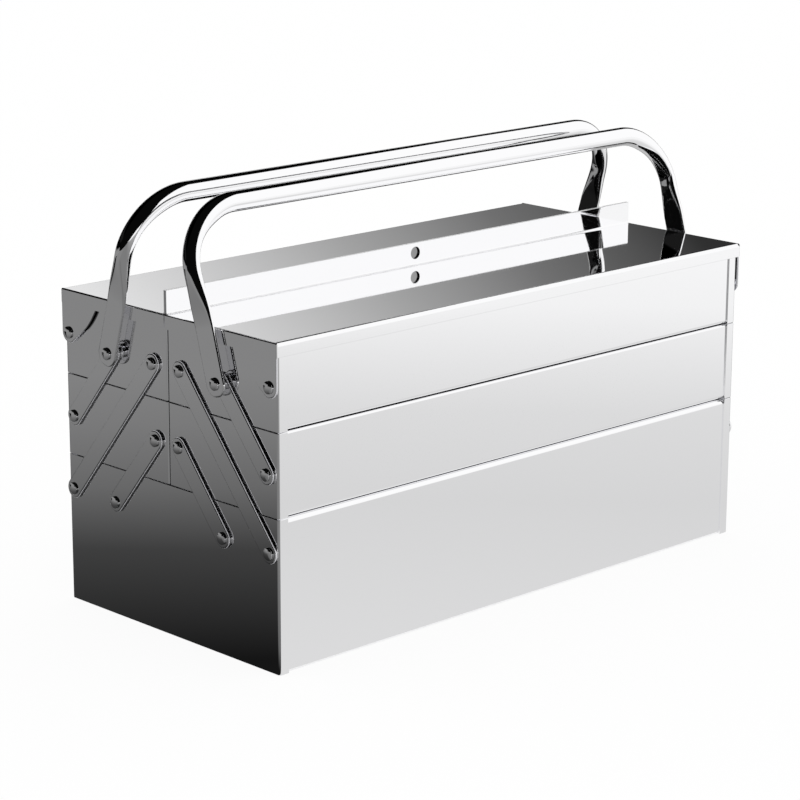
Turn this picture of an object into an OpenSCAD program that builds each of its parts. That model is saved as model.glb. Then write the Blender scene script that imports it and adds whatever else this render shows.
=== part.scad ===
// Cantilever tool box: an open base, two middle trays and two lidded top trays that unfold to the
// front and to the rear on riveted arms, with a tubular carrying handle on each top tray.
// X runs along the length, -Y is the front, +Z is up. The origin is the centre of the underside.
// All sizes are millimetres.

/* [Body] */
// Length over the end panels
body_length = 415; // [340:1:560]
// Depth over the front and rear faces
body_depth = 200; // [190:1:240]
// Height of the base up to its rim
base_height = 96.5; // [85:0.5:130]
// Height of each middle tray
mid_height = 52; // [44:0.5:70]
// Height of each top tray
top_height = 52.8; // [46:0.5:70]
// Thickness of the steel sheet
sheet = 1; // [0.7:0.1:1.4]
// Air between the front and the rear trays
centre_gap = 0.5; // [0.3:0.1:1.5]
// Air between one tray and the next
stack_gap = 0.5; // [0.3:0.1:1.5]

/* [Sheet metal] */
// Outer radius of the rolled rim of the base
base_rim_radius = 3.5; // [2:0.25:5]
// Outer radius of the hemmed rim of a tray
tray_rim_radius = 1.5; // [1.25:0.05:2.5]
// Depth of the folded edge below a rim
hem_depth = 3; // [1.5:0.25:6]
// Outer radius of the bend along a tray's bottom
bottom_bend_radius = 2.5; // [1.75:0.25:4]
// Width of the end panel's flange on the front and rear walls
flange_width = 7.5; // [5:0.5:14]
// Outer radius of the end panel's upright bends
corner_radius = 1.75; // [1.5:0.05:2.5]

/* [Lids] */
// Height of the lid's lip on the front face
lid_lip_height = 9; // [7:0.25:14]
// Height of the upright flange at the centre of the box
lid_upstand_height = 14.7; // [12:0.1:20]
// Outer radius of the lid's bends
lid_bend_radius = 2.5; // [2:0.25:3]
// Air between a lid and the rim below it
lid_gap = 0.5; // [0.3:0.1:1]
// Air between the lid's lip and the front wall
lip_gap = 0.2; // [0.15:0.05:1]
// Depth of the top tray's end panels below its rim, which lets the lid's bend turn past them
lid_turn_drop = 0.8; // [0.5:0.1:2]
// Air between the lid's end flange and the end panel
lid_end_gap = 1.1; // [0.6:0.1:2]
// Diameter of the padlock hole through the upright flanges
padlock_hole = 8.2; // [6:0.1:9]
// Height of the padlock hole's centre above the lid
padlock_hole_rise = 8.1; // [6.5:0.1:12]
// Distance of the lid hinge behind the front face
lid_hinge_inset = 5.8; // [5:0.1:8]
// Height of the lid hinge above the top tray's bottom
lid_hinge_rise = 26.8; // [22:0.2:32]
// Radius of the rounded end of the lid's ear
lid_ear_radius = 6.7; // [5.5:0.1:8]
// Width of the lid's ear where it leaves the end flange
lid_ear_width = 33; // [28:1:44]
// Distance of the ear's bend behind the front face
lid_ear_bend_inset = 26; // [22:0.5:27]
// Drop of the ear's bend below the end flange
lid_ear_bend_drop = 10.5; // [8:0.5:13]

/* [Arms] */
// Width of an arm
arm_width = 12.6; // [10:0.2:16]
// Thickness of an arm
arm_thickness = 2; // [1.5:0.1:3]
// Air between an arm and the end panel
arm_gap = 0.2; // [0.15:0.05:0.5]
// Overlap of an opened tray with the rim that it stands over
opened_overlap = 19.75; // [15:0.25:30]
// Distance of the long arm's lower pivot behind the front face
long_arm_inset = 7; // [6.5:0.1:10]
// Distance of the lower arm's lower pivot behind the front face
lower_arm_inset = 49; // [45:0.5:52]
// Distance of the upper arm's lower pivot behind the front face
upper_arm_inset = 9; // [6.5:0.1:12]
// Depth of the lowest pivots below the base's rim
base_pivot_drop = 21.5; // [16:0.5:30]
// Height of the highest pivots above the top tray's bottom
top_pivot_rise = 21.5; // [16:0.5:28]

/* [Rivets] */
// Diameter of the rivet shanks
rivet_diameter = 5; // [4:0.1:6]
// Diameter of the rivet heads
rivet_head = 7.8; // [7:0.1:9]
// Height of the domed rivet heads
rivet_head_height = 1.5; // [1:0.1:2]
// Thickness of the closed rivet tail inside the panel
rivet_tail = 1.2; // [0.8:0.1:2]
// Radial clearance of a shank in its hole
pivot_clearance = 0.05; // [0.02:0.01:0.1]
// Air beside each riveted piece
rivet_play = 0.1; // [0.05:0.05:0.3]

/* [Handles] */
// Outside diameter of the handle tube
handle_tube = 12.4; // [10:0.2:14]
// Wall thickness of the handle tube
handle_wall = 1.2; // [0.8:0.1:2]
// Distance from the handle's pivot to the centre line of its crossbar
handle_reach = 104; // [90:1:130]
// Radius of the handle's bends along the centre line
handle_bend_radius = 39; // [30:1:50]
// Lean of the closed handles towards each other
handle_lean = 16; // [8:1:20]
// Thickness of the flattened leg
leg_thickness = 2; // [1.5:0.1:3]
// Width of the flattened leg
leg_width = 16.4; // [14:0.2:20]
// Distance of the leg's inner face from the end panel
leg_offset = 4.4; // [4.1:0.1:6]
// Length of leg above its pivot that is fully flat
leg_flat_length = 45; // [40:1:55]
// Distance of the tube's inner flat from the end panel, which lets the lid's end pass
lid_pass_offset = 2.6; // [2.4:0.1:3]
// Reach of that inner flat, measured from the pivot
lid_pass_length = 73; // [66:1:82]

/* [Hidden] */

// Facets of the round surfaces, and of the solids inside a hull
round_facets = 64;
hull_facets = 32;
// Reach of a cutting solid past the solid that it cuts
past = 1;

// Levels of the stacked trays
mid_floor = base_height + stack_gap;
top_floor = mid_floor + mid_height + stack_gap;
top_rim = top_floor + top_height;
lid_under = top_rim + lid_gap;
lid_top = lid_under + sheet;

// The front half: its front face, its inner face and the depth of a tray
half_length = body_length / 2;
front_face = -body_depth / 2;
inner_face = -centre_gap / 2;
tray_depth = inner_face - front_face;

// Linkage: each tray travels forward over the tray below on arms of one pitch
arm_run = (tray_depth - opened_overlap) / 2;
base_pivot_z = base_height - base_pivot_drop;
top_pivot_z = top_floor + top_pivot_rise;
arm_rise = (top_pivot_z - base_pivot_z) / 2;
mid_pivot_z = base_pivot_z + arm_rise;
long_arm_foot = [front_face + long_arm_inset, base_pivot_z];
long_arm_middle = long_arm_foot + [arm_run, arm_rise];
long_arm_head = long_arm_foot + 2 * [arm_run, arm_rise];
lower_arm_foot = [front_face + lower_arm_inset, base_pivot_z];
lower_arm_head = lower_arm_foot + [arm_run, arm_rise];
upper_arm_foot = [front_face + upper_arm_inset, mid_pivot_z];
upper_arm_head = upper_arm_foot + [arm_run, arm_rise];
lid_hinge = [front_face + lid_hinge_inset, top_floor + lid_hinge_rise];

// Layers outside the end panel, measured outwards from its outer face
arm_outer = arm_gap + arm_thickness;
lid_end_outer = lid_end_gap + sheet;
leg_outer = leg_offset + leg_thickness;

// Holes and rivets
shank_radius = rivet_diameter / 2;
pivot_hole_radius = shank_radius + pivot_clearance;
head_radius = rivet_head / 2;
dome_radius = (head_radius * head_radius + rivet_head_height * rivet_head_height) / (2 * rivet_head_height);
tail_radius = head_radius - 0.3;
spacer_radius = head_radius + 0.5;

// Handle tube
tube_radius = handle_tube / 2;
tube_offset = leg_offset + leg_thickness / 2;
tube_half_span = half_length + tube_offset;
bend_foot = handle_reach - handle_bend_radius;
bore_start_angle = 35;

// Upper half of a flat pattern, above the line y = level
module above(level, reach) {
    translate([-reach, level]) square([2 * reach, reach]);
}

// Flat pattern of a sheet folded up into a U with hemmed rims: outer width and height
module trough_section(width, height, rim_radius) {
    rim_z = height - rim_radius;
    corner = bottom_bend_radius;
    difference() {
        union() {
            translate([0, corner]) square([width, rim_z - corner]);
            translate([corner, 0]) square([width - 2 * corner, rim_z]);
            for (y = [corner, width - corner])
                translate([y, corner]) circle(r = corner, $fn = round_facets);
        }
        translate([sheet, corner]) square([width - 2 * sheet, height]);
        translate([corner, sheet]) square([width - 2 * corner, height]);
        for (y = [corner, width - corner])
            translate([y, corner]) circle(r = corner - sheet, $fn = round_facets);
    }
    for (side = [0, 1])
        translate([side * width, rim_z]) mirror([side, 0]) hem_section(rim_radius);
}

// Half-round rim that starts on the wall's outer face and ends in a short folded edge
module hem_section(rim_radius) {
    intersection() {
        translate([rim_radius, 0]) difference() {
            circle(r = rim_radius, $fn = round_facets);
            circle(r = rim_radius - sheet, $fn = round_facets);
        }
        translate([0, 0]) square([2 * rim_radius, rim_radius]);
    }
    translate([2 * rim_radius - sheet, -hem_depth]) square([sheet, hem_depth]);
}

// Folded sheet of a tray or of the base, between its end panels
module trough(front_y, depth, floor_z, height, rim_radius) {
    color("silver")
        translate([-half_length + sheet, front_y + sheet, floor_z])
            rotate([90, 0, 90])
                linear_extrude(body_length - 2 * sheet)
                    trough_section(depth - 2 * sheet, height, rim_radius);
}

// Plan of an end panel: a plate whose two flanges turn along the walls
module end_plan(depth) {
    difference() {
        union() {
            translate([0, corner_radius]) square([flange_width, depth - 2 * corner_radius]);
            translate([corner_radius, 0]) square([flange_width - corner_radius, depth]);
            for (y = [corner_radius, depth - corner_radius])
                translate([corner_radius, y]) circle(r = corner_radius, $fn = round_facets);
        }
        translate([sheet, sheet]) square([flange_width, depth - 2 * sheet]);
    }
}

// Left end panel of a tray or of the base, with a hole at each pivot
module end_panel(front_y, depth, floor_z, height, pivots) {
    color("silver")
        difference() {
            translate([-half_length, front_y, floor_z]) linear_extrude(height) end_plan(depth);
            for (pivot = pivots)
                from_panel(pivot, -sheet - past, sheet + 2 * past) disc(pivot_hole_radius);
        }
}

// Places a flat pattern on the left end, at a pivot, from an outward distance over a thickness
module from_panel(pivot, start, thickness) {
    translate([-half_length - start, pivot.x, pivot.y])
        rotate([90, 0, -90])
            linear_extrude(thickness)
                children();
}

module disc(radius) {
    circle(r = radius, $fn = round_facets);
}

// The parts of the rear half are mirror images of the front half's
module rear() {
    mirror([0, 1, 0]) children();
}

// The parts of the right end are mirror images of the left end's
module right() {
    mirror([1, 0, 0]) children();
}

module both_ends() {
    children();
    right() children();
}

// Half section of a rivet: x is the radius and y the outward distance from the end panel
module rivet_section(under_head) {
    tail_end = -sheet - rivet_tail;
    translate([0, tail_end]) square([shank_radius, under_head - tail_end]);
    translate([0, tail_end]) square([tail_radius, rivet_tail]);
    intersection() {
        translate([0, under_head]) square([head_radius, rivet_head_height]);
        translate([0, under_head + rivet_head_height - dome_radius])
            circle(r = dome_radius, $fn = round_facets);
    }
}

// Domed rivet through the left end panel: its head's underside lies at an outward distance
module rivet(pivot, under_head) {
    color("gainsboro")
        translate([-half_length, pivot.x, pivot.y])
            rotate([0, -90, 0])
                rotate_extrude($fn = round_facets)
                    rivet_section(under_head);
}

// Straight arm with round ends, outside the left end panel
module arm(foot, head, length, holes) {
    lean = atan2(head.x - foot.x, head.y - foot.y);
    color("lightgray")
        translate([-half_length - arm_outer, foot.x, foot.y])
            rotate([-lean, 0, 0])
                rotate([90, 0, 90])
                    linear_extrude(arm_thickness)
                        difference() {
                            union() {
                                translate([-arm_width / 2, 0]) square([arm_width, length]);
                                for (z = [0, length])
                                    translate([0, z]) disc(arm_width / 2);
                            }
                            for (z = holes)
                                translate([0, z]) disc(pivot_hole_radius);
                        }
}

module long_arm() {
    length = norm(long_arm_head - long_arm_foot);
    arm(long_arm_foot, long_arm_head, length, [0, length]);
}

module lower_arm() {
    length = norm(lower_arm_head - lower_arm_foot);
    arm(lower_arm_foot, lower_arm_head, length, [0, length]);
}

module upper_arm() {
    length = norm(upper_arm_head - upper_arm_foot);
    arm(upper_arm_foot, upper_arm_head, length, [0, length]);
}

// Stud welded to the back of the long arm, closed inside the middle tray's end panel
module arm_stud() {
    inner_play = sheet + rivet_play;
    color("gainsboro") {
        from_panel(long_arm_middle, -inner_play - rivet_tail, inner_play + rivet_tail + arm_gap)
            disc(shank_radius);
        from_panel(long_arm_middle, -inner_play - rivet_tail, rivet_tail) disc(tail_radius);
    }
}

// Flat pattern of a quarter bend in the corner that opens to +x and +y
module quarter_bend(outer_radius) {
    intersection() {
        translate([outer_radius, outer_radius]) difference() {
            circle(r = outer_radius, $fn = round_facets);
            circle(r = outer_radius - sheet, $fn = round_facets);
        }
        square(outer_radius);
    }
}

// Section of the front lid from its lip over the top to the upright flange at the centre
module lid_section() {
    lip_y = front_face - lip_gap - sheet;
    width = inner_face - lip_y;
    upstand_foot = lid_bend_radius - sheet;
    translate([lip_y, lid_top]) {
        translate([0, -lid_lip_height]) square([sheet, lid_lip_height - lid_bend_radius]);
        mirror([0, 1]) quarter_bend(lid_bend_radius);
        translate([lid_bend_radius, -sheet])
            square([width - lid_bend_radius - upstand_foot - sheet, sheet]);
        translate([width, -sheet]) mirror([1, 0]) quarter_bend(lid_bend_radius);
        translate([width - sheet, upstand_foot])
            square([sheet, lid_upstand_height - upstand_foot]);
    }
}

// Outline of the lid's end: the flange under the top, with an ear that reaches the hinge
module lid_end_section() {
    lip_y = front_face - lip_gap - sheet;
    flange_z = lid_top - lid_lip_height;
    bend = [front_face + lid_ear_bend_inset, flange_z - lid_ear_bend_drop];
    reach = bend - lid_hinge;
    edge_angle = atan2(reach.y, reach.x) + asin(lid_ear_radius / norm(reach));
    ear_edge = lid_hinge + lid_ear_radius * [sin(edge_angle), -cos(edge_angle)];
    difference() {
        union() {
            translate([lip_y, flange_z])
                square([inner_face - lip_y, lid_lip_height - sheet / 2]);
            polygon([
                [lid_hinge.x - lid_ear_radius, lid_hinge.y],
                [lid_hinge.x, lid_hinge.y],
                ear_edge,
                bend,
                [front_face + lid_ear_width, flange_z],
                [front_face + lid_ear_width, flange_z + sheet],
                [lid_hinge.x - lid_ear_radius, flange_z + sheet]
            ]);
            translate(lid_hinge) disc(lid_ear_radius);
        }
        translate(lid_hinge) disc(pivot_hole_radius);
    }
}

// Front lid: one folded sheet with its end flanges, ears and padlock hole
module lid() {
    lid_half = half_length + lid_end_outer;
    color("whitesmoke")
        difference() {
            union() {
                translate([-lid_half, 0, 0])
                    rotate([90, 0, 90])
                        linear_extrude(2 * lid_half)
                            lid_section();
                both_ends()
                    translate([-lid_half, 0, 0])
                        rotate([90, 0, 90])
                            linear_extrude(sheet)
                                lid_end_section();
            }
            translate([0, past, lid_top + padlock_hole_rise])
                rotate([90, 0, 0])
                    cylinder(h = lid_bend_radius + 2 * past, r = padlock_hole / 2, $fn = round_facets);
        }
}

// Handle in its own upright plane: pivots on the x axis, crossbar along x at the reach
module upright_handle() {
    straight = 2 * (tube_half_span - handle_bend_radius);
    translate([-straight / 2, 0, handle_reach])
        rotate([0, 90, 0])
            cylinder(h = straight, r = tube_radius, $fn = round_facets);
    both_ends() {
        difference() {
            translate([-straight / 2, 0, bend_foot])
                rotate([90, 0, 0])
                    rotate([0, 0, 90])
                        rotate_extrude(angle = 90, $fn = round_facets)
                            translate([handle_bend_radius, 0]) disc(tube_radius);
            lid_pass();
        }
        leg_taper();
        flat_leg();
    }
}

// Room for the lid's end on the inner side of a leg, running out into the bend
module lid_pass() {
    run_out = handle_bend_radius / 2;
    face = -half_length - lid_pass_offset;
    translate([0, leg_width / 2, 0])
        rotate([90, 0, 0])
            linear_extrude(leg_width)
                polygon([
                    [face, bend_foot - past],
                    [face, lid_pass_length],
                    [face + run_out, lid_pass_length + run_out],
                    [face + run_out, bend_foot - past]
                ]);
}

// Transition from the flat leg to the tube, whose inner side keeps clear of the lid's end
module leg_taper() {
    overlap = 0.01;
    hull() {
        translate([-half_length - leg_outer, -leg_width / 2, leg_flat_length - overlap])
            cube([leg_thickness, leg_width, overlap]);
        intersection() {
            translate([-tube_half_span, 0, bend_foot - overlap])
                cylinder(h = overlap, r = tube_radius, $fn = hull_facets);
            translate([-half_length - lid_pass_offset - handle_tube, -tube_radius, bend_foot - 2 * overlap])
                cube([handle_tube, handle_tube, 3 * overlap]);
        }
    }
}

// Flattened leg with a round end below the pivot
module flat_leg() {
    translate([-half_length - leg_outer, 0, 0])
        rotate([90, 0, 90])
            linear_extrude(leg_thickness) {
                translate([-leg_width / 2, 0]) square([leg_width, leg_flat_length]);
                disc(leg_width / 2);
            }
}

// Closed bore of the crossbar and of the upper part of its bends
module handle_bore() {
    bore_radius = tube_radius - handle_wall;
    straight = 2 * (tube_half_span - handle_bend_radius);
    translate([-straight / 2, 0, handle_reach])
        rotate([0, 90, 0])
            cylinder(h = straight, r = bore_radius, $fn = round_facets);
    both_ends()
        translate([-straight / 2, 0, bend_foot])
            rotate([90, 0, 0])
                rotate([0, 0, 90])
                    rotate_extrude(angle = 90 - bore_start_angle, $fn = round_facets)
                        translate([handle_bend_radius, 0]) disc(bore_radius);
}

// Front handle, leaning towards the centre, with a hole for the rivet in each leg
module handle() {
    color("lightgray")
        translate([0, upper_arm_head.x, upper_arm_head.y])
            rotate([-handle_lean, 0, 0])
                difference() {
                    upright_handle();
                    handle_bore();
                    both_ends()
                        translate([-half_length - leg_outer - past, 0, 0])
                            rotate([0, 90, 0])
                                cylinder(h = leg_thickness + 2 * past, r = pivot_hole_radius, $fn = round_facets);
                }
}

// Spacer ring between the upper arm and the handle's leg
module handle_spacer() {
    color("gainsboro")
        from_panel(upper_arm_head, arm_outer + rivet_play, leg_offset - arm_outer - 2 * rivet_play)
            difference() {
                disc(spacer_radius);
                disc(pivot_hole_radius);
            }
}

module base_trough() {
    trough(front_face, body_depth, 0, base_height, base_rim_radius);
}

module base_end() {
    feet = [long_arm_foot, lower_arm_foot];
    rear_feet = [for (foot = feet) [-foot.x, foot.y]];
    end_panel(front_face, body_depth, 0, base_height, concat(feet, rear_feet));
}

module base_rivets() {
    both_ends()
        for (foot = [long_arm_foot, lower_arm_foot]) {
            rivet(foot, arm_outer + rivet_play);
            rear() rivet(foot, arm_outer + rivet_play);
        }
}

module mid_trough() {
    trough(front_face, tray_depth, mid_floor, mid_height, tray_rim_radius);
}

module mid_end() {
    end_panel(front_face, tray_depth, mid_floor, mid_height,
        [upper_arm_foot, long_arm_middle, lower_arm_head]);
}

module mid_rivets() {
    both_ends()
        for (pivot = [upper_arm_foot, lower_arm_head])
            rivet(pivot, arm_outer + rivet_play);
}

module top_trough() {
    trough(front_face, tray_depth, top_floor, top_height, tray_rim_radius);
}

module top_end() {
    end_panel(front_face, tray_depth, top_floor, top_height - lid_turn_drop,
        [upper_arm_head, long_arm_head, lid_hinge]);
}

module top_rivets() {
    both_ends() {
        rivet(long_arm_head, arm_outer + rivet_play);
        rivet(upper_arm_head, leg_outer + rivet_play);
        rivet(lid_hinge, lid_end_outer + rivet_play);
    }
}

module arm_studs() {
    both_ends() arm_stud();
}

module handle_spacers() {
    both_ends() handle_spacer();
}

base_trough();
base_end();  // base_end_left
right() base_end();  // base_end_right
base_rivets();
mid_trough();  // mid_trough_front
mid_end();  // mid_end_front_left
right() mid_end();  // mid_end_front_right
mid_rivets();  // mid_rivets_front
top_trough();  // top_trough_front
top_end();  // top_end_front_left
right() top_end();  // top_end_front_right
top_rivets();  // top_rivets_front
lid();  // lid_front
handle();  // handle_front
handle_spacers();  // handle_spacers_front
long_arm();  // long_arm_front_left
right() long_arm();  // long_arm_front_right
arm_studs();  // arm_studs_front
lower_arm();  // lower_arm_front_left
right() lower_arm();  // lower_arm_front_right
upper_arm();  // upper_arm_front_left
right() upper_arm();  // upper_arm_front_right
rear() mid_trough();  // mid_trough_rear
rear() mid_end();  // mid_end_rear_left
rear() right() mid_end();  // mid_end_rear_right
rear() mid_rivets();  // mid_rivets_rear
rear() top_trough();  // top_trough_rear
rear() top_end();  // top_end_rear_left
rear() right() top_end();  // top_end_rear_right
rear() top_rivets();  // top_rivets_rear
rear() lid();  // lid_rear
rear() handle();  // handle_rear
rear() handle_spacers();  // handle_spacers_rear
rear() long_arm();  // long_arm_rear_left
rear() right() long_arm();  // long_arm_rear_right
rear() arm_studs();  // arm_studs_rear
rear() lower_arm();  // lower_arm_rear_left
rear() right() lower_arm();  // lower_arm_rear_right
rear() upper_arm();  // upper_arm_rear_left
rear() right() upper_arm();  // upper_arm_rear_right
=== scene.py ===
import logging
from dataclasses import dataclass, field
from enum import Enum
from math import cos, inf, pi, radians, sin

import bmesh
import bpy
import numpy as np
from mathutils import Matrix, Vector


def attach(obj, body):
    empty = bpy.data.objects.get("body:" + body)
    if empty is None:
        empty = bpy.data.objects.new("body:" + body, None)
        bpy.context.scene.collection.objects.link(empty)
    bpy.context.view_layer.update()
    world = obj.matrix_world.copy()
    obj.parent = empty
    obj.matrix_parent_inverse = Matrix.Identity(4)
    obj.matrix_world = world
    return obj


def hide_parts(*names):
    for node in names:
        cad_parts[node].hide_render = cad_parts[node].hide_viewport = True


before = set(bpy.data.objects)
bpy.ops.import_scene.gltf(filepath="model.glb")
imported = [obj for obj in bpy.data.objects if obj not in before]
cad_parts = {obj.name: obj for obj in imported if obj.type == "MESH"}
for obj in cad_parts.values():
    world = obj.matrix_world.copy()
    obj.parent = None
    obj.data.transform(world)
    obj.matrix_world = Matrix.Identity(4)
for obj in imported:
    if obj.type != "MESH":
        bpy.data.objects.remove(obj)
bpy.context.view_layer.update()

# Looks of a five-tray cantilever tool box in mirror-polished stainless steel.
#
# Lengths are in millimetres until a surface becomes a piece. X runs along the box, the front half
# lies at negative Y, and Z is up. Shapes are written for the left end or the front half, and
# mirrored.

Array = np.ndarray
Point2 = tuple[float, float]
Point3 = tuple[float, float, float]
Table = tuple[tuple[float, float], ...]
Material = bpy.types.Material
Socket = bpy.types.NodeSocket

MM = 0.001
# Directions along the box and upwards.
ALONG: Point3 = (1.0, 0.0, 0.0)
UPWARDS: Point3 = (0.0, 0.0, 1.0)
# Distance within which corners of a mesh become one, in millimetres.
MERGE = 1e-4
# Angle between faces past which their edge is sharp, in degrees.
SHARP_ANGLE = 35
# How far the larger face leads at a shared corner: 50 is neutral, and 100 is the most.
FACE_WEIGHT = 100
# An edge face takes the dull grey that paints its sheen where it looks outwards along the box by
# more than the first and less than the second share.
SHEEN_EDGE_FACING = (0.1, 0.6)
# Light bounces, enough for sheet that mirrors sheet.
BOUNCES, GLOSSY_BOUNCES = 16, 12
LOG = logging.getLogger("tool_box")


# ---------------------------------------------------------------- named choices


class Half(Enum):
    """The half of the box that a piece belongs to, with the side of Y that it lies on."""

    FRONT = -1
    REAR = 1

    @property
    def word(self) -> str:
        """The half's word in node and body names."""
        return self.name.lower()


class End(Enum):
    """The end of the box that a piece belongs to, with the side of X that it lies on."""

    LEFT = -1
    RIGHT = 1

    @property
    def word(self) -> str:
        """The end's word in node names."""
        return self.name.lower()


class Level(Enum):
    """A tray's level, with the word that its nodes and body carry."""

    MIDDLE = "mid"
    TOP = "top"


# ---------------------------------------------------------------- surfaces


@dataclass(frozen=True)
class Surface:
    """A closed shell, or several, as points in millimetres and faces of any number of corners.

    Attributes:
        points: Corner positions, one row each.
        faces: Corner numbers of each face, as lists.
    """

    points: Array
    faces: list[list[int]]

    def volume(self) -> float:
        """Signed volume: a sixth of the sum of the triple products of the faces' triangles.

        Returns:
            The volume, positive where the faces point outwards.
        """
        fans = np.array([(f[0], f[k], f[k + 1]) for f in self.faces for k in range(1, len(f) - 1)])
        a, b, c = (self.points[fans[:, k]] for k in range(3))
        return float(np.einsum("ij,ij->i", a, np.cross(b, c)).sum() / 6)

    def outward(self) -> "Surface":
        """The same shell with its faces pointing outwards, where its volume is positive."""
        return self if self.volume() >= 0 else Surface(self.points, [f[::-1] for f in self.faces])

    def mirrored(self, half: Half = Half.FRONT, end: End = End.LEFT) -> "Surface":
        """The shell moved from the front left to another half or end: Y or X changes its sign.

        Args:
            half: Half of the box to move it to.
            end: End of the box to move it to.

        Returns:
            The mirrored shell, with its faces turned back outwards.
        """
        signs = np.array([-end.value, -half.value, 1.0])
        turned = signs.prod() < 0
        return Surface(self.points * signs, [f[::-1] for f in self.faces] if turned else self.faces)

    def joined(self, *others: "Surface") -> "Surface":
        """The shell together with others, whose corner numbers follow on.

        Args:
            others: Shells to add.

        Returns:
            One surface that holds them all.
        """
        points, faces, start = [self.points], list(self.faces), len(self.points)
        for other in others:
            faces += [[corner + start for corner in face] for face in other.faces]
            points.append(other.points)
            start += len(other.points)
        return Surface(np.concatenate(points), faces)


def both_ends(surface: Surface) -> Surface:
    """The shell at the left end with its mirror image at the right end."""
    return surface.joined(surface.mirrored(end=End.RIGHT))


def grid_quads(rows: int, columns: int) -> list[list[int]]:
    """Quads between neighbouring points of a grid that is stored row by row, each row a ring.

    Args:
        rows: Number of rings.
        columns: Number of points in a ring.

    Returns:
        Corner numbers, four to a face.
    """
    row = np.arange(rows - 1)[:, None] * columns
    column = np.arange(columns)[None, :]
    right = (column + 1) % columns
    corners = [row + column, row + right, row + columns + right, row + columns + column]
    return np.stack(corners, axis=-1).reshape(-1, 4).tolist()


def arc(centre: Point2, radius: float, start: float, end: float, steps: int) -> Array:
    """Points at equal angles in degrees: the centre plus the radius times cosine and sine."""
    angle = np.radians(np.linspace(start, end, steps + 1))
    return np.array(centre) + radius * np.stack([np.cos(angle), np.sin(angle)], axis=-1)


def smoothstep(value: Array, low: float, high: float) -> Array:
    """A ramp from 0 at low to 1 at high as 3t^2 - 2t^3, level at both ends."""
    t = np.clip((value - low) / (high - low), 0, 1)
    return t * t * (3 - 2 * t)


# ---------------------------------------------------------------- folded sheet


@dataclass
class FoldedSheet:
    """The section of a folded sheet, walked along its middle as straight runs and bends.

    Attributes:
        start: First point of the middle line.
        heading: First direction, in degrees from the plane's first axis.
        thickness: Sheet thickness.
        nose: Radius that deburring leaves on the sheet's cut edges.
        nose_steps: Steps round a cut edge.
        steps: Steps in a quarter bend.
        line: Points of the middle line so far, in groups.
        normals: Directions to its left at those points, in the same groups.
    """

    start: Point2
    heading: float
    thickness: float = 1.0
    nose: float = 0.3
    nose_steps: int = 4
    steps: int = 12
    line: list[Array] = field(default_factory=list)
    normals: list[Array] = field(default_factory=list)

    def __post_init__(self) -> None:
        """Starts the walk at its first point."""
        self.place = np.array(self.start, float)
        self._note(self.place[None], np.array([self.heading]))

    def _note(self, points: Array, headings: Array) -> None:
        """Keeps points of the middle line, with the direction a quarter turn left of the heading.

        Args:
            points: The points, one row each.
            headings: Heading at each of them, in degrees.
        """
        angle = np.radians(headings) + pi / 2
        self.line.append(points)
        self.normals.append(np.stack([np.cos(angle), np.sin(angle)], axis=-1))

    def run(self, length: float) -> "FoldedSheet":
        """Walks straight on.

        Args:
            length: Length of the run.

        Returns:
            The same walk, to go on with.
        """
        angle = radians(self.heading)
        self.place = self.place + length * np.array([cos(angle), sin(angle)])
        self._note(self.place[None], np.array([self.heading]))
        return self

    def bend(self, radius: float, turn: float) -> "FoldedSheet":
        """Walks round a bend: the middle line keeps the radius from the bend's centre.

        Args:
            radius: Radius of the middle line.
            turn: Angle turned, in degrees, to the left if positive.

        Returns:
            The same walk, to go on with.
        """
        side = 1.0 if turn > 0 else -1.0
        inward = radians(self.heading) + side * pi / 2
        centre = self.place + radius * np.array([cos(inward), sin(inward)])
        count = max(2, round(self.steps * abs(turn) / 90))
        headings = self.heading + np.linspace(0, turn, count + 1)[1:]
        outward = np.radians(headings) - side * pi / 2
        points = centre + radius * np.stack([np.cos(outward), np.sin(outward)], axis=-1)
        self._note(points, headings)
        self.heading, self.place = float(headings[-1]), points[-1]
        return self

    def sides(self, right: float | None = None) -> tuple[Array, Array]:
        """The sheet's two faces: the middle line moved half the thickness to its left and right.

        At each end a face draws in by the nose radius times one minus the cosine, where the place
        on the middle line moves by the radius times one minus the sine.

        Args:
            right: Distance of the right face from the middle line, if it isn't half the thickness.

        Returns:
            Points of the left face and of the right face, in the same order.
        """
        line, normals = np.concatenate(self.line), np.concatenate(self.normals)
        left = self.thickness / 2
        right = left if right is None else right
        angle = np.radians(np.linspace(90, 0, self.nose_steps + 1))[:, None]
        back, draw = self.nose * (1 - np.sin(angle)), self.nose * (1 - np.cos(angle))
        ahead = normals @ np.array([[0.0, -1.0], [1.0, 0.0]])
        first, last = line[0] + back * ahead[0], line[-1] - back[::-1] * ahead[-1]
        line = np.concatenate([first, line[1:-1], last])
        inset = np.concatenate([draw, np.zeros((len(normals) - 2, 1)), draw[::-1]])
        level = np.ones_like(angle)
        normals = np.concatenate([level * normals[0], normals[1:-1], level * normals[-1]])
        return line + (left - inset) * normals, line - (right - inset) * normals

    def extruded(self, reach: float) -> Surface:
        """The section in Y and Z, carried along X to that reach on both sides of the middle."""
        left, right = self.sides()
        return stacked_rings([np.concatenate([left, right[::-1]])] * 2, [-reach, reach], "x")


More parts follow.
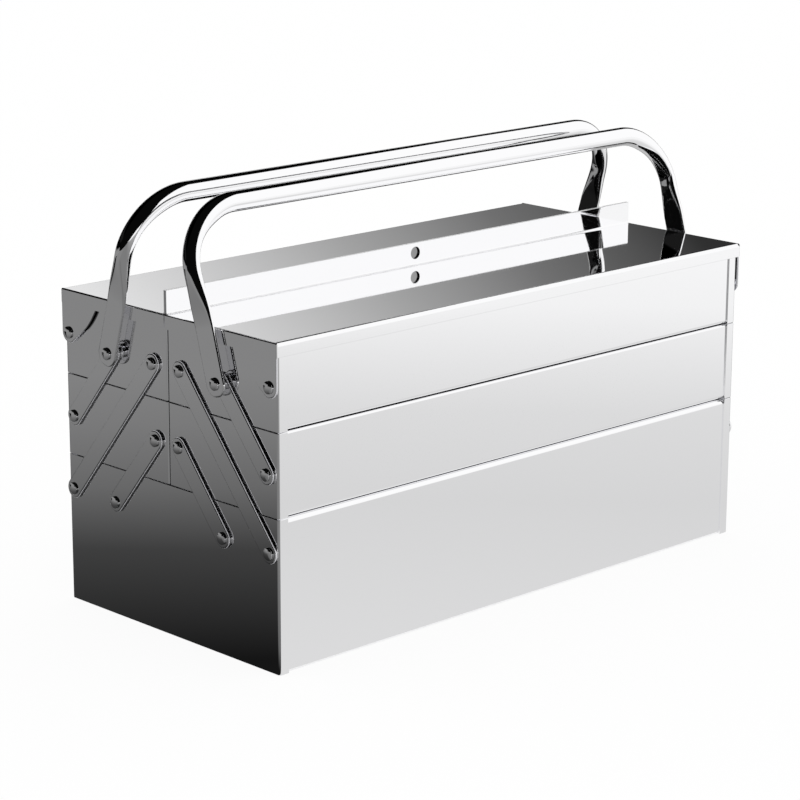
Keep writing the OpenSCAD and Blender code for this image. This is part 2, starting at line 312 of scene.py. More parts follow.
def stacked_rings(rings: list[Array], heights: list[float], axis: str) -> Surface:
    """A shell of equal rings of plane points, one above the other, closed at both ends.

    A ring is a sheet's section: its second half runs back along its first, so each end is a strip
    of quads.

    Args:
        rings: Plane points of each ring, in the same order.
        heights: Place of each ring along the axis.
        axis: "x" for rings in Y and Z, "z" for rings in X and Y.

    Returns:
        The closed shell.
    """
    count = len(rings[0])
    plane = np.stack(rings)
    along = np.broadcast_to(np.array(heights, float)[:, None, None], (len(rings), count, 1))
    parts = [along, plane] if axis == "x" else [plane, along]
    points = np.concatenate(parts, axis=-1).reshape(-1, 3)
    faces = grid_quads(len(rings), count)
    near = np.arange(count // 2 - 1)
    strip = np.stack([near, near + 1, count - 2 - near, count - 1 - near], axis=-1)
    last = (len(rings) - 1) * count
    faces += strip[:, ::-1].tolist() + (strip + last).tolist()
    return Surface(points, faces).outward()


def plate(outlines: list[Array], offsets: list[float], end_x: float) -> Surface:
    """A plate at the left end whose outline changes over its thickness, as at rounded edges.

    Args:
        outlines: Outline of each layer in Y and Z, with matching points.
        offsets: Distance of each layer outwards from the panel.
        end_x: Place of the panel's face along X.

    Returns:
        The closed shell, with one flat face at each end.
    """
    count = len(outlines[0])
    plane = np.stack(outlines)
    along = np.broadcast_to((end_x - np.array(offsets))[:, None, None], (len(outlines), count, 1))
    points = np.concatenate([along, plane], axis=-1).reshape(-1, 3)
    faces = grid_quads(len(outlines), count)
    last = (len(outlines) - 1) * count
    faces += [list(range(count))[::-1], list(range(last, last + count))]
    return Surface(points, faces).outward()


def turned(profile: list[Point2], pivot: Point2, end_x: float, steps: int = 56) -> Surface:
    """A turned part at the left end: the profile carried round the pivot's line along X.

    A point at distance u from the panel and radius r goes to Y and Z of the pivot plus r times
    the cosine and sine of the angle.

    Args:
        profile: Pairs of distance outwards from the panel and radius, from the outer end inwards.
        pivot: Y and Z of the line it turns about.
        end_x: Place of the panel's face along X.
        steps: Steps round the line.

    Returns:
        The shell, closed at its poles or round its bore.
    """
    outline = np.array(profile)
    angle = np.linspace(0, 2 * pi, steps, endpoint=False)[None, :]
    distance, radius = outline[:, :1], outline[:, 1:]
    grid = np.stack(
        [
            end_x - distance + 0 * angle,
            pivot[0] + radius * np.cos(angle),
            pivot[1] + radius * np.sin(angle),
        ],
        axis=-1,
    )
    return Surface(grid.reshape(-1, 3), grid_quads(len(outline), steps)).outward()


def stadium(first: Point2, second: Point2, radius: float, steps: int = 28) -> Array:
    """Outline of a bar with round ends: a half circle about each end, joined by straight sides.

    Args:
        first: Centre of one round end.
        second: Centre of the other.
        radius: Half the width.
        steps: Steps in each half circle.

    Returns:
        Outline points in order.
    """
    way = np.degrees(np.arctan2(second[1] - first[1], second[0] - first[0]))
    low = arc(first, radius, way + 90, way + 270, steps)
    high = arc(second, radius, way - 90, way + 90, steps)
    return np.concatenate([low, high])


# ---------------------------------------------------------------- finishes


def linear(hex_colour: str) -> tuple[float, float, float, float]:
    """The linear colour of an sRGB one: c / 12.92 low down, ((c + 0.055) / 1.055)^2.4 above.

    Args:
        hex_colour: The colour as six hex digits.

    Returns:
        Red, green, blue, and an alpha of 1.
    """
    c = np.array([int(hex_colour[k : k + 2], 16) / 255 for k in (0, 2, 4)])
    value = np.where(c <= 0.04045, c / 12.92, ((c + 0.055) / 1.055) ** 2.4)
    return (*value.tolist(), 1.0)


def add_node(
    material: Material | bpy.types.World,
    kind: str,
    links: dict[str | int, Socket | float | Point3] | None = None,
    **settings: object,
) -> bpy.types.Node:
    """Adds a node, sets its sockets and properties, and links its inputs.

    Args:
        material: Material or world to add it to.
        kind: Node type, without "ShaderNode".
        links: Input name or number to the output socket, or the value, that feeds it.
        settings: Property names, or input names with spaces as underscores, and their values.

    Returns:
        The new node.
    """
    node = material.node_tree.nodes.new("ShaderNode" + kind)
    for name, value in settings.items():
        if hasattr(node, name):
            setattr(node, name, value)
        else:
            node.inputs[name.replace("_", " ")].default_value = value
    for name, source in (links or {}).items():
        if isinstance(source, Socket):
            material.node_tree.links.new(source, node.inputs[name])
        else:
            node.inputs[name].default_value = source
    return node


def empty_material(name: str) -> Material:
    """A material with no nodes in it yet.

    Args:
        name: Its name.

    Returns:
        The new material.
    """
    material = bpy.data.materials.new(name)
    material.use_nodes = True
    material.node_tree.nodes.clear()
    return material


@dataclass(frozen=True)
class PolishedSteel:
    """Mirror-polished stainless steel, such as AISI 304: cold-rolled, then buffed bright.

    A buffed sheet mirrors its surroundings almost sharply. It is never quite flat, so reflections
    swim a little, and the buffing wheel leaves hair lines in one direction that only soften
    highlights.

    Attributes:
        name: Material name.
        colour: sRGB hex colour of the reflection.
        roughness: Mean roughness.
        haze: How much the roughness varies from patch to patch.
        patch_size: Size of those patches, in millimetres.
        patch_detail: Octaves of finer noise in them.
        patch_noise: Noise values between which the roughness goes from least to most.
        line_spacing: Spacing of the buffing lines, in millimetres, drawn coarser than the real
            0.02 mm.
        line_stretch: How many times longer than their spacing the lines are.
        line_detail: Octaves of finer noise in them.
        line_depth: Height of the buffing lines, in millimetres.
        lines_along: Axis that the buffing lines follow, 0 for X and 2 for Z.
        wave_length: Length of the sheet's slight waves, in millimetres.
        wave_detail: Octaves of finer noise in them.
        wave_depth: Height of the waves, in millimetres.
        metallic: 1 for bright metal, 0 for dull faces whose grey paints their sheen.
    """

    name: str
    colour: str = "FCFCFD"
    roughness: float = 0.035
    haze: float = 0.02
    patch_size: float = 60.0
    patch_detail: float = 4.0
    patch_noise: Point2 = (0.3, 0.7)
    line_spacing: float = 0.35
    line_stretch: float = 120.0
    line_detail: float = 2.0
    line_depth: float = 0.0006
    lines_along: int = 0
    wave_length: float = 90.0
    wave_detail: float = 1.0
    wave_depth: float = 0.05
    metallic: float = 1.0

    def material(self) -> Material:
        """Builds the material, or gives it again if it is there.

        Returns:
            A shader with uneven roughness, buffing lines and waves, all on object coordinates.
        """
        made = bpy.data.materials.get(self.name)
        if made is not None:
            return made
        material = empty_material(self.name)
        place = add_node(material, "TexCoord").outputs["Object"]
        stretch = [1 / (self.line_spacing * MM)] * 3
        stretch[self.lines_along] /= self.line_stretch
        lines_place = add_node(material, "Mapping", {"Vector": place}, Scale=stretch)
        patterns = {
            "lines": (lines_place.outputs[0], 1.0, self.line_detail),
            "waves": (place, 1 / (self.wave_length * MM), self.wave_detail),
            "patches": (place, 1 / (self.patch_size * MM), self.patch_detail),
        }
        noise = {
            name: add_node(material, "TexNoise", {"Vector": vector}, Scale=scale, Detail=detail)
            for name, (vector, scale, detail) in patterns.items()
        }
        uneven = add_node(
            material,
            "MapRange",
            {"Value": noise["patches"].outputs["Fac"]},
            From_Min=self.patch_noise[0],
            From_Max=self.patch_noise[1],
            To_Min=self.roughness - self.haze / 2,
            To_Max=self.roughness + self.haze / 2,
        )
        bumps = {"Roughness": uneven.outputs["Result"]}
        for name, depth in (("waves", self.wave_depth), ("lines", self.line_depth)):
            heights = {"Height": noise[name].outputs["Fac"]}
            if "Normal" in bumps:
                heights["Normal"] = bumps["Normal"]
            bump = add_node(material, "Bump", heights, Strength=1.0, Distance=depth * MM)
            bumps["Normal"] = bump.outputs["Normal"]
        shader = add_node(
            material,
            "BsdfPrincipled",
            bumps,
            Base_Color=linear(self.colour),
            Metallic=self.metallic,
        )
        add_node(material, "OutputMaterial", {"Surface": shader.outputs["BSDF"]})
        return material


# Sheet buffed along the box, in walls and lids. It mirrors its surroundings almost sharply, and
# they sway a little where the sheet isn't quite flat.
SHEET = PolishedSteel("mirror_polished_sheet")
# The same sheet in the end panels, buffed upright, so that highlights soften sideways.
PANEL = PolishedSteel("mirror_polished_end_panel", lines_along=2)
# Flat bars punched from polished strip. They mirror a little less sharply, and are too stiff for
# the mirror image to sway.
ARM = PolishedSteel("polished_flat_bar", roughness=0.05, wave_depth=0.0, lines_along=2)
# Their side faces and the lids' ear edges, in a dull light grey that paints the light strip these
# polished faces mirror: being dull, it takes its tone from the plain white light, not from the
# cards.
DULL_EDGE_PAINTED_SHEEN = PolishedSteel(
    "rubbed_edge", "C4C4C8", roughness=0.55, haze=0.1, line_depth=0.0, wave_depth=0.0, metallic=0.0
)
# Welded tube, polished and then bent. It draws its surroundings out into sharp lines along it.
TUBE = PolishedSteel("bright_bent_tube", roughness=0.03, wave_length=25.0, wave_depth=0.006)
# Cold-headed rivets, tumbled bright. Each dome shows its surroundings small and slightly soft.
RIVET = PolishedSteel("tumbled_rivet", roughness=0.07, line_depth=0.0, wave_depth=0.0)


# ---------------------------------------------------------------- pieces


def merged_mesh(name: str, surface: Surface, scale: float = 1.0) -> bpy.types.Mesh:
    """A mesh of a surface, in which corners that lie together become one.

    Args:
        name: Mesh name.
        surface: The closed shell or shells.
        scale: What its points are multiplied by.

    Returns:
        The new mesh.
    """
    mesh = bpy.data.meshes.new(name)
    mesh.from_pydata((surface.points * scale).tolist(), [], surface.faces)
    merged = bmesh.new()
    merged.from_mesh(mesh)
    bmesh.ops.remove_doubles(merged, verts=merged.verts, dist=MERGE * scale)
    merged.to_mesh(mesh)
    merged.free()
    return mesh


def new_piece(
    surface: Surface,
    node: str,
    body: str,
    finish: PolishedSteel,
    painted_edge_finish: PolishedSteel | None = None,
    edge_top: float = inf,
) -> bpy.types.Object:
    """Makes a surface into the piece that stands for a CAD node and moves with its body.

    Its faces are smooth, with sharp edges past an angle, and its corner normals follow the larger
    faces, so that flat sheet mirrors flatly and only the bends curve the reflection.

    Args:
        surface: The closed shell or shells, in millimetres.
        node: Name of the CAD node that it replaces.
        body: Body that it rides on.
        finish: Finish of its surface.
        painted_edge_finish: Dull finish of the faces that look outwards and across at once, whose
            grey paints their sheen, if it differs.
        edge_top: Height below which it is used, in millimetres.

    Returns:
        The new piece.
    """
    mesh = merged_mesh(node + "_polished", surface, MM)
    mesh.polygons.foreach_set("use_smooth", np.ones(len(mesh.polygons), bool))
    mesh.set_sharp_from_angle(angle=radians(SHARP_ANGLE))
    mesh.materials.append(finish.material())
    if painted_edge_finish is not None:
        mesh.materials.append(painted_edge_finish.material())
        # Faces that look outwards and across take the second material, a dull grey that paints
        # their sheen.
        facing, centre = np.empty((2, len(mesh.polygons) * 3))
        mesh.polygons.foreach_get("normal", facing)
        mesh.polygons.foreach_get("center", centre)
        outwards = facing[::3] * np.sign(centre[::3])
        least, most = SHEEN_EDGE_FACING
        sheen_edge_faces = (outwards > least) & (outwards < most) & (centre[2::3] < edge_top * MM)
        mesh.polygons.foreach_set("material_index", sheen_edge_faces.astype(np.int32))
    piece = bpy.data.objects.new(node + "_polished", mesh)
    bpy.context.scene.collection.objects.link(piece)
    weighted = piece.modifiers.new("flat_faces_lead", "WEIGHTED_NORMAL")
    weighted.keep_sharp, weighted.weight = True, FACE_WEIGHT
    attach(piece, body)
    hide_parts(node)
    LOG.info("%s on %s: %d faces", piece.name, body, len(mesh.polygons))
    return piece


# ---------------------------------------------------------------- box sizes


@dataclass(frozen=True)
class BoxSizes:
    """Sizes that the sub-assemblies share.

    Attributes:
        half_length: From the middle to an end panel's outer face.
        half_depth: From the middle to the front panel line.
        sheet: Sheet thickness.
        inner_face: Distance of a tray's inner side from the middle.
        panel_inner: The same for its end panels, which leave a gap that shows.
        trough_half: From the middle to the end of a folded trough.
        corner_radius: Outer radius of the end panels' upright bends at the box's corners.
        seam_radius: Outer radius of the same bends where the two halves meet.
        edge: Radius that deburring leaves on the end panels' upper and lower edges.
        edge_steps: Steps round such an edge.
        flange_end: X distance at which an end panel's flange ends.
        floor_bend: Outer radius of the bend between wall and bottom.
    """

    half_length: float = 207.5
    half_depth: float = 100.0
    sheet: float = 1.0
    inner_face: float = 0.25
    panel_inner: float = 0.45
    trough_half: float = 206.5
    corner_radius: float = 1.75
    seam_radius: float = 1.0
    edge: float = 0.3
    edge_steps: int = 3
    flange_end: float = 200.0
    floor_bend: float = 2.5


BOX = BoxSizes()


def end_panel(near_y: float, far_y: float, low: float, high: float, far_radius: float) -> Surface:
    """An end panel with a flange round each upright corner, walked in plan and carried upwards.

    Near its upper and lower edges the outer face draws in by the edge radius times one minus the
    cosine, where the height changes by the radius times the sine.

    Args:
        near_y: Its outer face at the front.
        far_y: Its outer face at the other side.
        low: Height of its lower edge.
        high: Height of its upper edge.
        far_radius: Outer radius of the bend at the other side.

    Returns:
        The panel at the left end.
    """
    half = BOX.sheet / 2
    near, far = BOX.corner_radius - half, far_radius - half
    reach = BOX.half_length - half - BOX.flange_end
    plan = FoldedSheet((-BOX.flange_end, far_y - half), 180.0, BOX.sheet)
    plan.run(reach - far).bend(far, 90).run(far_y - near_y - BOX.sheet - far - near)
    plan.bend(near, 90).run(reach - near)
    angle = np.radians(np.linspace(0, 90, BOX.edge_steps + 1))
    draw, rise = BOX.edge * (1 - np.cos(angle)), BOX.edge * np.sin(angle)
    faces = [plan.sides(right=float(half - d)) for d in np.concatenate([draw[::-1], draw])]
    heights = np.concatenate([low + BOX.edge - rise[::-1], high - BOX.edge + rise])
    rings = [np.concatenate([left, right[::-1]]) for left, right in faces]
    return stacked_rings(rings, heights.tolist(), "z")


def trough(near_y: float, far_y: float, low: float, high: float, rim: float, lip: float) -> Surface:
    """A trough of one sheet: lip, rolled rim, wall, bottom, and the same again on the other side.

    Args:
        near_y: Outer face of the front wall.
        far_y: Outer face of the other wall.
        low: Height of the bottom's outer face.
        high: Height of the rims' tops.
        rim: Outer radius of the rolled rim.
        lip: Length of the lip that hangs inside the rim.

    Returns:
        The trough over the whole length.
    """
    half = BOX.sheet / 2
    roll, fold = rim - half, BOX.floor_bend - half
    wall = high - rim - low - BOX.floor_bend
    width = far_y - near_y - 2 * BOX.floor_bend
    section = FoldedSheet((near_y + half + 2 * roll, high - rim - lip), 90.0, BOX.sheet)
    section.run(lip).bend(roll, 180).run(wall).bend(fold, 90).run(width)
    section.bend(fold, 90).run(wall).bend(roll, 180).run(lip)
    return section.extruded(BOX.trough_half)


# ---------------------------------------------------------------- rivets


@dataclass(frozen=True)
class Rivet:
    """A cold-headed rivet with a low dome outside, a plain shank and a flat tail inside.

    Attributes:
        head_radius: Radius of the head.
        head_height: Height of the head.
        head_bevel: Width of the bevel at its foot.
        ball_radius: Radius of the sphere that its top is a cap of.
        shoulder_radius: Radius of the arc between that cap and the head's upright side.
        shank_radius: Radius of the shank.
        tail_radius: Radius of the inner tail.
        tail_bevel: Width of the bevel at its end.
        tail_near: Distance of the tail's outer face inwards from the panel.
        tail_far: Distance of its inner face.
        steps: Steps along the cap, and along the arc.
    """

    head_radius: float = 3.9
    head_height: float = 1.5
    head_bevel: float = 0.06
    ball_radius: float = 12.0
    shoulder_radius: float = 0.35
    shank_radius: float = 2.5
    tail_radius: float = 3.6
    tail_bevel: float = 0.3
    tail_near: float = 1.0
    tail_far: float = 2.2
    steps: int = 8

    def shell(self, pivot: Point2, seat: float) -> Surface:
        """The rivet, turned about its pivot: a sphere's cap, and an arc down from it to the seat.

        Args:
            pivot: Y and Z of the pivot.
            seat: Distance outwards from the panel at which the head begins.

        Returns:
            The closed shell at the left end.
        """
        top = seat + self.head_height
        ball, shoulder = self.ball_radius, self.shoulder_radius
        centre = ball - shoulder
        turn = np.arcsin((self.head_radius - shoulder) / centre)
        cap = np.linspace(0, turn, self.steps + 1)
        side = np.linspace(turn, pi / 2, self.steps + 1)[1:]
        fall = [ball * np.cos(cap), centre * np.cos(turn) + shoulder * np.cos(side)]
        reach = [ball * np.sin(cap), centre * np.sin(turn) + shoulder * np.sin(side)]
        height = top - ball + np.concatenate(fall)
        outline = list(zip(height.tolist(), np.concatenate(reach).tolist()))
        outline += [
            (seat + self.head_bevel, self.head_radius),
            (seat, self.head_radius - self.head_bevel),
            (seat, self.shank_radius),
            (-self.tail_near, self.shank_radius),
            (-self.tail_near, self.tail_radius),
            (-self.tail_far + self.tail_bevel, self.tail_radius),
            (-self.tail_far, self.tail_radius - self.tail_bevel),
            (-self.tail_far, 0.0),
        ]
        return turned(outline, pivot, -BOX.half_length)


@dataclass(frozen=True)
class Pivots:
    """Y and Z of the front half's pivots, and the distances outwards at which rivet heads sit.

    Each arm's pivot is named for the level that carries it and for the arm.

    Attributes:
        base_long: The long arm's foot.
        base_lower: The lower arm's foot.
        middle_upper: The upper arm's foot.
        middle_long: The stud on the long arm's back.
        middle_lower: The lower arm's head.
        top_upper: The upper arm's head, which also carries the handle.
        top_long: The long arm's head.
        lid_hinge: The lid's hinge.
        arm_seat: Head's seat over an arm.
        leg_seat: Head's seat over the handle's leg.
        ear_seat: Head's seat over the lid's ear.
    """

    base_long: Point2 = (-93.0, 75.0)
    base_lower: Point2 = (-51.0, 75.0)
    middle_upper: Point2 = (-91.0, 123.0)
    middle_long: Point2 = (-53.0, 123.0)
    middle_lower: Point2 = (-11.0, 123.0)
    top_upper: Point2 = (-51.0, 171.0)
    top_long: Point2 = (-13.0, 171.0)
    lid_hinge: Point2 = (-94.2, 176.3)
    arm_seat: float = 2.3
    leg_seat: float = 6.5
    ear_seat: float = 2.2


PIVOTS = Pivots()


# ---------------------------------------------------------------- base


@dataclass(frozen=True)
class Base:
    """The box's bottom compartment: a trough with thick rolled rims, two end panels and rivets.

    Attributes:
        height: Height of its rims and end panels.
        rim: Outer radius of the rolled rims.
        lip: Length of the lips inside the rims.
        rivet: Shape of its rivets.
    """

    height: float = 96.5
    rim: float = 3.5
    lip: float = 3.0
    rivet: Rivet = Rivet()

    def make(self) -> None:
        """Builds and dresses the base's four pieces."""
        wall = BOX.half_depth - BOX.sheet
        body = trough(-wall, wall, 0.0, self.height, self.rim, self.lip)
        new_piece(body, "base_trough", "base", SHEET)
        panel = end_panel(-BOX.half_depth, BOX.half_depth, 0.0, self.height, BOX.corner_radius)
        for end in End:
            node = "base_end_" + end.word
            new_piece(panel.mirrored(end=end), node, "base", PANEL)
        front = self.rivet.shell(PIVOTS.base_long, PIVOTS.arm_seat)
        front = both_ends(front.joined(self.rivet.shell(PIVOTS.base_lower, PIVOTS.arm_seat)))
        rivets = front.joined(front.mirrored(Half.REAR))
        new_piece(rivets, "base_rivets", "base", RIVET)


# ---------------------------------------------------------------- trays


@dataclass(frozen=True)
class Tray:
    """A tray of one level: a trough with small rolled rims between two end panels, and its rivets.

    Attributes:
        level: The tray's level.
        low: Height of its bottom.
        high: Height of its rims.
        panel_high: Height of its end panels' upper edge.
        rivets: Pivot and head seat of each rivet at the left end.
        rim: Outer radius of the rolled rim.
        lip: Length of the lip inside the rim.
        rivet: Shape of its rivets.
    """

    level: Level
    low: float
    high: float
    panel_high: float
    rivets: tuple[tuple[Point2, float], ...]
    rim: float = 1.5
    lip: float = 3.0
    rivet: Rivet = Rivet()

    def make(self, half: Half) -> None:
        """Builds and dresses the tray's four pieces.

        Args:
            half: Half of the box that it belongs to.
        """
        word = self.level.value
        body = f"{half.word}_{word}_tray"
        near, far = -BOX.half_depth, -BOX.inner_face
        near_wall, far_wall = near + BOX.sheet, far - BOX.sheet
        folded = trough(near_wall, far_wall, self.low, self.high, self.rim, self.lip)
        node = f"{word}_trough_{half.word}"
        new_piece(folded.mirrored(half), node, body, SHEET)
        panel = end_panel(near, -BOX.panel_inner, self.low, self.panel_high, BOX.seam_radius)
        for end in End:
            node = f"{word}_end_{half.word}_{end.word}"
            new_piece(panel.mirrored(half, end), node, body, PANEL)
        shells = [self.rivet.shell(pivot, seat) for pivot, seat in self.rivets]
        riveted = both_ends(shells[0].joined(*shells[1:])).mirrored(half)
        new_piece(riveted, f"{word}_rivets_{half.word}", body, RIVET)


MIDDLE_TRAY = Tray(
    Level.MIDDLE,
    low=97.0,
    high=149.0,
    panel_high=149.0,
    rivets=((PIVOTS.middle_upper, PIVOTS.arm_seat), (PIVOTS.middle_lower, PIVOTS.arm_seat)),
)
TOP_TRAY = Tray(
    Level.TOP,
    low=149.5,
    high=202.3,
    panel_high=201.5,
    rivets=(
        (PIVOTS.top_upper, PIVOTS.leg_seat),
        (PIVOTS.top_long, PIVOTS.arm_seat),
        (PIVOTS.lid_hinge, PIVOTS.ear_seat),
    ),
)


# ---------------------------------------------------------------- arms


@dataclass(frozen=True)
class Arms:
    """The flat bars that carry the trays, and the studs behind the long ones.

    Attributes:
        radius: Half the width of a bar.
        inner: Distance of a bar's inner face from the panel.
        outer: Distance of its outer face.
        edge: Radius that tumbling leaves on its outer edges.
        inner_edge: Radius of the rolled-over edges towards the panel.
        edge_steps: Steps round each of them.
        stud_radius: Radius of a stud.
        stud_head: Radius of a stud's head inside the tray.
        stud_neck: Distance inwards from the panel at which that head begins.
        stud_end: Distance of its end.
        stud_bevel: Width of the bevel there.
        stud_steps: Steps round a stud.
    """

    radius: float = 6.3
    inner: float = 0.2
    outer: float = 2.2
    edge: float = 0.9
    inner_edge: float = 1.0
    edge_steps: int = 5
    stud_radius: float = 2.5
    stud_head: float = 3.6
    stud_neck: float = 1.1
    stud_end: float = 2.3
    stud_bevel: float = 0.3
    stud_steps: int = 40

    def bar(self, first: Point2, second: Point2) -> Surface:
        """A bar between two pivots, whose edges are quarter rounds.

        Each layer's outline draws in by the edge radius times one minus the sine, where the layer
        rises by the radius times one minus the cosine.

        Args:
            first: Lower pivot.
            second: Upper pivot.

        Returns:
            The closed shell at the left end.
        """
        angle = np.radians(np.linspace(0, 90, self.edge_steps + 1))
        draw, rise = 1 - np.sin(angle), 1 - np.cos(angle)
        inset = np.concatenate([self.inner_edge * draw, self.edge * draw[::-1]])
        outlines = [stadium(first, second, self.radius - d) for d in inset]
        near, far = self.inner + self.inner_edge * rise, self.outer - self.edge * rise[::-1]
        return plate(outlines, np.concatenate([near, far]).tolist(), -BOX.half_length)

    def studs(self) -> Surface:
        """The studs behind the long bars, which carry the middle tray.

        Returns:
            The closed shells at both ends.
        """
        outline = [
            (self.inner, 0.0),
            (self.inner, self.stud_radius),
            (-self.stud_neck, self.stud_radius),
            (-self.stud_neck, self.stud_head),
            (-self.stud_end + self.stud_bevel, self.stud_head),
            (-self.stud_end, self.stud_head - self.stud_bevel),
            (-self.stud_end, 0.0),
        ]
        return both_ends(turned(outline, PIVOTS.middle_long, -BOX.half_length, self.stud_steps))

    def make(self, half: Half) -> None:
        """Builds and dresses six bars and the studs.

        Args:
            half: Half of the box that they belong to.
        """
        bars = {
            "long": self.bar(PIVOTS.base_long, PIVOTS.top_long),
            "lower": self.bar(PIVOTS.base_lower, PIVOTS.middle_lower),
            "upper": self.bar(PIVOTS.middle_upper, PIVOTS.top_upper),
        }
        for word, shell in bars.items():
            for end in End:
                node = f"{word}_arm_{half.word}_{end.word}"
                body = f"{half.word}_{word}_arms"
                # The bars' side faces take the dull grey that paints their sheen.
                new_piece(shell.mirrored(half, end), node, body, ARM, DULL_EDGE_PAINTED_SHEEN)
        studs = self.studs().mirrored(half)
        new_piece(studs, f"arm_studs_{half.word}", f"{half.word}_long_arms", RIVET)


# ---------------------------------------------------------------- lid


@dataclass(frozen=True)
class Lid:
    """A top tray's lid: one sheet with a lip, an upright flange at the middle and hinged ends.

    Attributes:
        top: Height of its upper face.
        lip_face: Y of the lip's outer face.
        lip_low: Height of the lip's lower edge.
        bend: Outer radius of its long bends.
        bend_steps: Steps in each of them.
        flange_top: Height of the upright flange's edge.
        end_half: From the middle to the outer face of its ends.
        end_overlap: How far the folded sheet runs into the end plates.
        end_radius: Radius of the end plates' top and front edges.
        end_round: Angle over which those edges are rounded, in degrees.
        end_steps: Steps round them.
        ear_radius: Radius of the ear's round end.
        ear_front: Y of the ear's front edge.
        ear_step: Half the height over which the front edge steps in to it from the lip.
        ear_bend: Y and Z of the bend in the ear's inner edge.
        ear_bend_reach: How far to each side of that point the edge is curved.
        ear_reach: Y at which the ear meets the end's lower edge.
        ear_sheen_edge: How far below the lip the ear's edges with the painted sheen begin.
        ear_steps: Steps round the ear's end.
        ear_bend_steps: Steps in the curve of its inner edge.
        hole_radius: Radius of the padlock hole.
        hole_height: Height of its centre.
        hole_steps: Steps round it.
        bore_half: Half the length of the solid that cuts it.
        bore_shift: Shift of that solid along X, which keeps its corners off the sheet's own.
    """

    top: float = 203.8
    lip_face: float = -101.2
    lip_low: float = 194.8
    bend: float = 2.5
    bend_steps: int = 16
    flange_top: float = 218.5
    end_half: float = 209.6
    end_overlap: float = 0.01
    end_radius: float = 1.0
    end_round: float = 84.0
    end_steps: int = 6
    ear_radius: float = 6.7
    ear_front: float = -100.9
    ear_step: float = 0.6
    ear_bend: Point2 = (-74.0, 184.3)
    ear_bend_reach: float = 7.0
    ear_reach: float = -67.0
    ear_sheen_edge: float = 0.3
    ear_steps: int = 20
    ear_bend_steps: int = 8
    hole_radius: float = 4.1
    hole_height: float = 211.9
    hole_steps: int = 64
    bore_half: float = 3.0
    bore_shift: float = 0.013

    def folded(self) -> Surface:
        """The folded sheet between the end plates: lip, bend, top, bend and upright flange.

        Returns:
            The closed shell.
        """
        half = BOX.sheet / 2
        radius = self.bend - half
        start = (self.lip_face + half, self.lip_low)
        section = FoldedSheet(start, 90.0, BOX.sheet, steps=self.bend_steps)
        section.run(self.top - self.bend - self.lip_low).bend(radius, -90)
        section.run(-BOX.inner_face - self.lip_face - 2 * self.bend).bend(radius, 90)
        section.run(self.flange_top - self.top + BOX.sheet - self.bend)
        return section.extruded(self.end_half - BOX.sheet + self.end_overlap)

    def end_outline(self, draw: float) -> Array:
        """Outline of an end plate: top edge, front edge, the ear's round end and its inner edge.

        The line from the round end to the inner edge's bend touches the circle, and the bend
        itself is a parabola between two points at one distance from its middle.

        Args:
            draw: How far the top and front edges are drawn in.

        Returns:
            Points in Y and Z.
        """
        hinge, bend = np.array(PIVOTS.lid_hinge), np.array(self.ear_bend)
        reach = bend - hinge
        edge = np.arctan2(reach[1], reach[0]) + np.arcsin(self.ear_radius / np.hypot(*reach))
        touch = np.degrees(edge) - 90
        far = np.array([self.ear_reach, self.lip_low])
        before = bend - self.ear_bend_reach * np.array([cos(edge), sin(edge)])
        after = bend + self.ear_bend_reach * (far - bend) / np.hypot(*(far - bend))
        t = np.linspace(0, 1, self.ear_bend_steps + 1)[:, None]
        curve = (1 - t) ** 2 * before + 2 * t * (1 - t) * bend + t**2 * after
        centre = (self.lip_face + self.end_radius, self.top - self.end_radius)
        step = [
            (self.lip_face + draw, self.lip_low + self.ear_step),
            (self.ear_front + draw, self.lip_low - self.ear_step),
        ]
        return np.concatenate(
            [
                [(-BOX.inner_face, self.top - draw)],
                arc(centre, self.end_radius - draw, 90, 180, self.end_steps),
                step,
                arc(PIVOTS.lid_hinge, self.ear_radius - draw, 180, 360 + touch, self.ear_steps),
                curve,
                [far, (-BOX.inner_face, self.lip_low)],
            ]
        )

    def end_plate(self) -> Surface:
        """The plate that closes the left end, its top and front edges bent round from the sheet.

        Each layer draws in by the radius times one minus the cosine, and lies further out by the
        radius times the sine, over the sine of the last angle.

        Returns:
            The closed shell.
        """
        angle = np.radians(np.linspace(0, self.end_round, self.end_steps + 1))
        out = self.end_half - BOX.half_length
        outlines = [self.end_outline(float(d)) for d in self.end_radius * (1 - np.cos(angle))]
        layers = out - self.end_radius * (1 - np.sin(angle) / sin(angle[-1]))
        return plate(outlines, [out - BOX.sheet, *layers[1:].tolist()], -BOX.half_length)

    def make(self, half: Half) -> None:
        """Builds and dresses the lid, and cuts its padlock hole.

        Args:
            half: Half of the box that it belongs to.
        """
        sheet = self.cut(self.folded().mirrored(half))
        shell = sheet.joined(both_ends(self.end_plate()).mirrored(half))
        node, body = f"lid_{half.word}", f"{half.word}_lid"
        # The ear's edges below the lip take the dull grey that paints their sheen.
        below = self.lip_low - self.ear_sheen_edge
        new_piece(shell, node, body, SHEET, DULL_EDGE_PAINTED_SHEEN, below)

